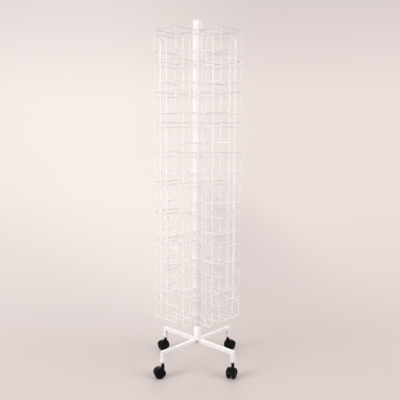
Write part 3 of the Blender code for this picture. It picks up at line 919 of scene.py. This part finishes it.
    def execute(self, context):
        castor = context.scene.rack_castor
        hood = [self.cover(castor), self.web(castor), self.neck()]
        stem, axle, wheel = self.stem(), self.axle(), self.wheel(castor)
        hub = (CASTOR_TRAIL, 0, AXLE_HEIGHT)
        for place, (direction, trail) in CASTORS.items():
            leg, turn = math.radians(direction), math.radians(trail)
            at = (LEG_REACH * math.cos(leg), LEG_REACH * math.sin(leg), 0)
            body = f"castor_{place}"
            add_piece(f"stem_{place}", moved(stem, leg, at), ZINC, "base", f"castor_stem_{place}")
            add_piece(f"hood_{place}", moved(hood, turn, at), BLACK, body, f"castor_hood_{place}")
            pin = moved(moved([axle], 0, hub), turn, at)
            add_piece(f"axle_{place}", pin, ZINC, body, f"castor_axle_{place}")
            for side, flip in (("a", 0.0), ("b", math.pi)):
                name = f"wheel_{place}_{side}"
                shells = moved(moved([wheel], flip, hub), turn, at)
                add_piece(name, shells, BLACK, name, f"castor_{name}")
        return {"FINISHED"}


class RACK_OT_baskets(bpy.types.Operator):
    """Make the wire baskets, ten in each column, with their welds"""

    bl_idname = "rack.baskets"
    bl_label = "Make the baskets"

    def basket(self, sizes, rim):
        """One basket in the +X +Y corner of the post, with heights taken from its rim: three bent loops,
        three straight corner posts and two straight floor wires, each a circle carried along its path."""
        side, sides = BASKET_SIDE, sizes.sides
        depth = LOOP_DROPS[-1]
        corners = [(WIRE_START, 0), (side, 0), (side, side), (0, side), (0, WIRE_START)]
        parts = []
        for drop, rub in zip(LOOP_DROPS, LOOP_RUB):
            path = bent_path([(x, y, -drop) for x, y in corners], sizes.loop_bend)
            parts.append(wire(path, UP, sizes.loop, sides, rub))
        reach = sizes.loop / 2
        for x, y in corners[1:-1]:
            ends = (x, y, -depth - reach), (x, y, reach)
            parts.append(straight(*ends, (1, 0, 0), sizes.upright, sides, CORNER_POST_RUB))
        on_floor = -depth + PRESSED * (sizes.loop + sizes.upright) / 2
        for y in UPRIGHT_PAIR:
            ends = (-reach, y, on_floor), (side + reach, y, on_floor)
            parts.append(straight(*ends, UP, sizes.upright, sides, FLOOR_WIRE_RUB))
        return parts + self.wire_welds(sizes, on_floor) + self.hairpin_welds(sizes, rim)

    def wire_welds(self, sizes, on_floor):
        """Spot welds at the posts and floor wires, and a turned flare where each loop meets the post."""
        near, far = CORNER_INSET, BASKET_SIDE - CORNER_INSET
        spots = [(x, y, -drop) for drop in LOOP_DROPS for x, y in ((far, near), (far, far), (near, far))]
        welds = [repeated(spot_weld(sizes.weld * np.array(POST_SPOT)), spots)]
        middle = (on_floor - LOOP_DROPS[-1]) / 2
        spots = [(x, y, middle) for x in (0, BASKET_SIDE) for y in UPRIGHT_PAIR]
        welds.append(repeated(spot_weld(sizes.weld * np.array(FLOOR_SPOT)), spots))
        points, *rest = lathe(np.array(FLARE) * [sizes.loop / 2, MM], FLARE_FACETS)
        along_x, along_y = points[:, [2, 0, 1]], points[:, [1, 2, 0]]
        welds.append(repeated((along_x, *rest), [(WIRE_START, 0, -drop) for drop in LOOP_DROPS]))
        welds.append(repeated((along_y, *rest), [(0, WIRE_START, -drop) for drop in LOOP_DROPS]))
        return welds

    def hairpin_welds(self, sizes, rim):
        """Spot welds where hairpins cross the loops, at every loop between a hairpin's foot and its top."""
        gap = sizes.loop / 2 + HALF_GAP
        welds = []
        for wall, order in (("x", (0, 1, 2)), ("y", (1, 0, 2))):
            spot = spot_weld(sizes.weld * np.array(HAIRPIN_SPOTS[wall]))
            for plane, foot in ((-gap, ARM_HEIGHT), (BASKET_SIDE + gap, OUTER_FEET[wall])):
                crossed = [drop for drop in LOOP_DROPS if foot < rim - drop < HAIRPIN_TOP]
                spots = np.array([(u, plane, -drop) for drop in crossed for u in UPRIGHT_PAIR])
                welds.append(repeated(spot, spots[:, order]))
        return welds

    def execute(self, context):
        for tier in range(TIERS):
            rim = HIGHEST_RIM - tier * TIER_PITCH
            basket = self.basket(context.scene.rack_wire, rim)
            number = f"{tier + 1:02d}"
            for column, turn in COLUMNS.items():
                shells = moved(basket, turn, (0, 0, rim))
                node = f"{column}_basket_{number}"
                add_piece(f"basket_{column}_{number}", shells, WHITE, "spinner", node)
        return {"FINISHED"}


class RACK_OT_hairpins(bpy.types.Operator):
    """Make the long pairs of wires that tie each wall's baskets together"""

    bl_idname = "rack.hairpins"
    bl_label = "Make the hairpins"

    def execute(self, context):
        sizes = context.scene.rack_wire
        near, far = UPRIGHT_PAIR
        top = [(far, HAIRPIN_TOP), (near, HAIRPIN_TOP)]
        inner = [(WIRE_START, ARM_HEIGHT), (far, ARM_HEIGHT), *top, (near, ARM_FOOT)]
        across = BASKET_SIDE + HAIRPIN_OFFSET
        for wall, order, normal in (("x", (0, 2, 1), (0, 1, 0)), ("y", (2, 0, 1), (1, 0, 0))):
            foot = OUTER_FEET[wall]
            outer = [(near, foot), *top[::-1], (far, foot)]
            for reach, corners, plane in (("inner", inner, -HAIRPIN_OFFSET), ("outer", outer, across)):
                flat = np.array([(u, z, plane) for u, z in corners])
                path = bent_path(flat[:, order], sizes.hairpin_bend)
                bent = wire(path, normal, sizes.hairpin, sizes.sides, HAIRPIN_RUB)
                for column, turn in COLUMNS.items():
                    name = f"hairpin_{column}_{reach}_{wall}"
                    node = f"{column}_hairpin_{reach}_{wall}"
                    add_piece(name, moved([bent], turn), WHITE, "spinner", node)
        return {"FINISHED"}


class RACK_OT_stage(bpy.types.Operator):
    """Make the floor, the light and the camera"""

    bl_idname = "rack.stage"
    bl_label = "Make the stage"

    def directions(self, stage):
        """The level directions to the right across the stage, and straight back from the camera."""
        c, s = math.cos(stage.azimuth), math.sin(stage.azimuth)
        return Vector((c, s, 0)), Vector((-s, c, 0))

    def seen(self, tree):
        """1 for a ray that shows the stage to the camera, straight or by way of gloss or glass, and 0 for
        one that carries its light."""
        ray = add_node(tree, "LightPath").outputs
        either = add_node(tree, "Math", LARGER, [ray["Is Camera Ray"], ray["Is Glossy Ray"]])
        return add_node(tree, "Math", LARGER, [either, ray["Is Transmission Ray"]])

    def backdrop(self, tree, direction, stage):
        """The backdrop's colour in a direction. It goes from one colour to the other by how far that
        direction leans across the stage, and darkens by how far it rises and by how far it leans to the
        left."""
        right, _ = self.directions(stage)
        lean = add_node(tree, "VectorMath", DOT, [direction, right]).outputs["Value"]
        rise = add_node(tree, "VectorMath", DOT, [direction, UP]).outputs["Value"]
        share = add_node(tree, "MapRange", SMOOTH, [lean, *BACKDROP_TURNS])
        ends = {0: share, 6: rgba(stage.backdrop_left), 7: rgba(stage.backdrop_right)}
        level = add_node(tree, "Mix", COLOURS, ends).outputs[2]
        high = add_node(tree, "MapRange", SMOOTH, [rise, *BACKDROP_TOP])
        side = add_node(tree, "MapRange", SMOOTH, [lean, *BACKDROP_SIDE])
        dim = add_node(tree, "Math", TIMES, [high, side])
        return add_node(tree, "VectorMath", SCALE, {0: level, "Scale": dim})

    def backdrop_share(self, tree, away, depth):
        """How far the floor has turned into the backdrop. Behind the rack, at a depth d, it is s / (s + 1
        m), both to the power 1.5, where s is half the sum of d and the root of d squared plus a small
        square. In front it goes from none to all between 1 and 4 m away, and all round between 2.5 and 8
        m."""
        root = add_node(tree, "Math", TIMES_AND_ADD, [depth, depth, FLOOR_ROOT**2])
        root = add_node(tree, "Math", {"operation": "SQRT"}, [root])
        twice = add_node(tree, "Math", ADD, [depth, root])
        power = add_node(tree, "Math", {"operation": "POWER"}, [twice, FLOOR_POWER])
        further = add_node(tree, "Math", ADD, [power, 2**FLOOR_POWER])
        behind = add_node(tree, "Math", {"operation": "DIVIDE"}, [power, further])
        around = add_node(tree, "MapRange", SMOOTH, [away, *FLOOR_AROUND])
        front = add_node(tree, "MapRange", SMOOTH, [depth, *FLOOR_FRONT])
        before = add_node(tree, "Math", TIMES, [around, front])
        either = add_node(tree, "Math", LARGER, [behind, before])
        beyond = add_node(tree, "MapRange", SMOOTH, [away, *FLOOR_BEYOND])
        return add_node(tree, "Math", LARGER, [either, beyond])

    def painted_soft_shade(self, tree, away, aside):
        """The light that is left in the rack's soft shade, which is painted on the floor and runs straight
        back from the rack, to the right of its middle: 1 less the product of its two edges and of a
        strength that fades between 4 and 13 m away."""
        begins = add_node(tree, "MapRange", SMOOTH, [aside, *SHADE_BEGINS])
        ends = add_node(tree, "MapRange", SMOOTH, [aside, *SHADE_ENDS])
        band = add_node(tree, "Math", TIMES, [begins, ends])
        fades = add_node(tree, "MapRange", SMOOTH, [away, *SHADE_FADES])
        return add_node(tree, "Math", TIMES_AND_ADD, [band, fades, 1.0])

    def floor(self, stage):
        """A flat disc of circles whose radii grow by one factor. Its paint is lit near the rack, and turns
        into the backdrop further out, where a painted shade of the rack runs back on its right."""
        radii = np.concatenate([[0.0], np.geomspace(*FLOOR_RADII, FLOOR_RINGS)])[:, None]
        c, s = circle(FLOOR_FACETS)
        rings = points_of(radii * c, radii * s, FLOOR_LEVEL)
        rings[0] = rings[1] * FLOOR_MIDDLE
        points, quads, caps, _ = shell(rings)
        mesh = bpy.data.meshes.new("floor")
        mesh.from_pydata(points.tolist(), [], quads[:, ::-1].tolist() + [caps[0][::-1].tolist()])
        add_object("floor", mesh)

        material, tree, shader, place = new_material("painted_studio_floor")
        right, back = self.directions(stage)
        away = add_node(tree, "VectorMath", {"operation": "LENGTH"}, [place]).outputs["Value"]
        depth = add_node(tree, "VectorMath", DOT, [place, back]).outputs["Value"]
        aside = add_node(tree, "VectorMath", DOT, [place, right]).outputs["Value"]
        outwards = add_node(tree, "VectorMath", {"operation": "NORMALIZE"}, [place])
        seen = self.seen(tree)
        coats = {0: seen, 6: rgba(stage.floor, FLOOR_BOUNCE), 7: rgba(stage.floor)}
        paint = add_node(tree, "Mix", COLOURS, coats).outputs[2]
        fill_in(tree, shader, {"Base Color": paint, "Roughness": 0.8, "Specular IOR Level": 0.1})
        # The floor's glow takes a painted shade of the rack, not a cast one.
        colour, lit = self.backdrop(tree, outwards, stage), self.painted_soft_shade(tree, away, aside)
        glow = add_node(tree, "Emission", None, {"Color": colour, "Strength": lit})
        shown = add_node(tree, "Math", TIMES, [self.backdrop_share(tree, away, depth), seen])
        both = add_node(tree, "MixShader", None, [shown, shader, glow])
        fill_in(tree, tree.nodes["Material Output"], {"Surface": both})
        mesh.materials.append(material)

    def light(self, stage):
        """The world gives even soft light and shows the backdrop's colour. Large lamps stand on the left,
        on the right and behind."""
        world = bpy.data.worlds.new("studio")
        bpy.context.scene.world = world
        world.use_nodes = True
        tree = world.node_tree
        direction = add_node(tree, "TexCoord").outputs["Generated"]
        colour = self.backdrop(tree, direction, stage)
        soft = rgba(linear(SOFT_COLOUR))
        even = add_node(tree, "Background", None, {"Color": soft, "Strength": stage.soft})
        shown = add_node(tree, "Background", None, {"Color": colour, "Strength": 1.0})
        both = add_node(tree, "MixShader", None, [self.seen(tree), even, shown])
        fill_in(tree, tree.nodes["World Output"], {"Surface": both})

        right, back = self.directions(stage)
        for name, (behind, aside, above, width) in LAMPS.items():
            lamp = bpy.data.lights.new(name, "AREA")
            lamp.shape = "ELLIPSE"
            lamp.size = width
            lamp.size_y = LAMP_HEIGHT
            lamp.energy = getattr(stage, name)
            lamp.color = linear(LAMP_COLOUR)
            obj = add_object(name, lamp)
            obj.location = back * behind + right * aside + Vector(UP) * above
            obj.rotation_euler = (LAMP_AIM - obj.location).to_track_quat("-Z", "Y").to_euler()

    def camera(self, stage):
        """Level axes at the camera's place, turned by yaw, then pitch, then roll."""
        data = bpy.data.cameras.new("camera")
        data.sensor_width = SENSOR_MM
        data.lens = stage.lens
        obj = add_object("camera", data)
        turn = Matrix.Rotation(stage.azimuth - stage.yaw, 4, "Z")
        tilt = Matrix.Rotation(QUARTER - stage.pitch, 4, "X") @ Matrix.Rotation(stage.roll, 4, "Z")
        _, back = self.directions(stage)
        place = Vector(UP) * stage.height - back * stage.distance
        obj.matrix_world = Matrix.Translation(place) @ turn @ tilt
        bpy.context.scene.camera = obj

    def execute(self, context):
        stage = context.scene.rack_stage
        context.scene.view_settings.view_transform = "Standard"
        self.floor(stage)
        self.light(stage)
        self.camera(stage)
        return {"FINISHED"}


class RACK_PT_sidebar(bpy.types.Panel):
    """The rack's operators and sizes"""

    bl_label = "Spinner rack"
    bl_idname = "RACK_PT_sidebar"
    bl_space_type = "VIEW_3D"
    bl_region_type = "UI"
    bl_category = "Rack"

    def draw(self, context):
        for operator in OPERATORS:
            self.layout.operator(operator.bl_idname)
        for name, kind in SETTINGS.items():
            box = self.layout.box()
            for prop in kind.__annotations__:
                box.prop(getattr(context.scene, name), prop)


SETTINGS = {
    "rack_wire": RackWireSettings,
    "rack_tube": RackTubeSettings,
    "rack_castor": RackCastorSettings,
    "rack_finish": RackFinishSettings,
    "rack_stage": RackStageSettings,
}
OPERATORS = (
    RACK_OT_stage,
    RACK_OT_kept_pieces,
    RACK_OT_post,
    RACK_OT_base,
    RACK_OT_castors,
    RACK_OT_baskets,
    RACK_OT_hairpins,
)


def register():
    for kind in (*SETTINGS.values(), *OPERATORS, RACK_PT_sidebar):
        bpy.utils.register_class(kind)
    for name, kind in SETTINGS.items():
        setattr(bpy.types.Scene, name, PointerProperty(type=kind))


def unregister():
    for name in SETTINGS:
        delattr(bpy.types.Scene, name)
    for kind in (RACK_PT_sidebar, *reversed(OPERATORS), *reversed(SETTINGS.values())):
        bpy.utils.unregister_class(kind)


def main():
    for obj in list(bpy.data.objects):
        if obj.type in ("LIGHT", "CAMERA"):
            bpy.data.objects.remove(obj)
    register()
    bpy.ops.rack.stage()
    bpy.ops.rack.kept_pieces()
    bpy.ops.rack.post()
    bpy.ops.rack.base()
    bpy.ops.rack.castors()
    bpy.ops.rack.baskets()
    bpy.ops.rack.hairpins()


if __name__ == "__main__":
    main()
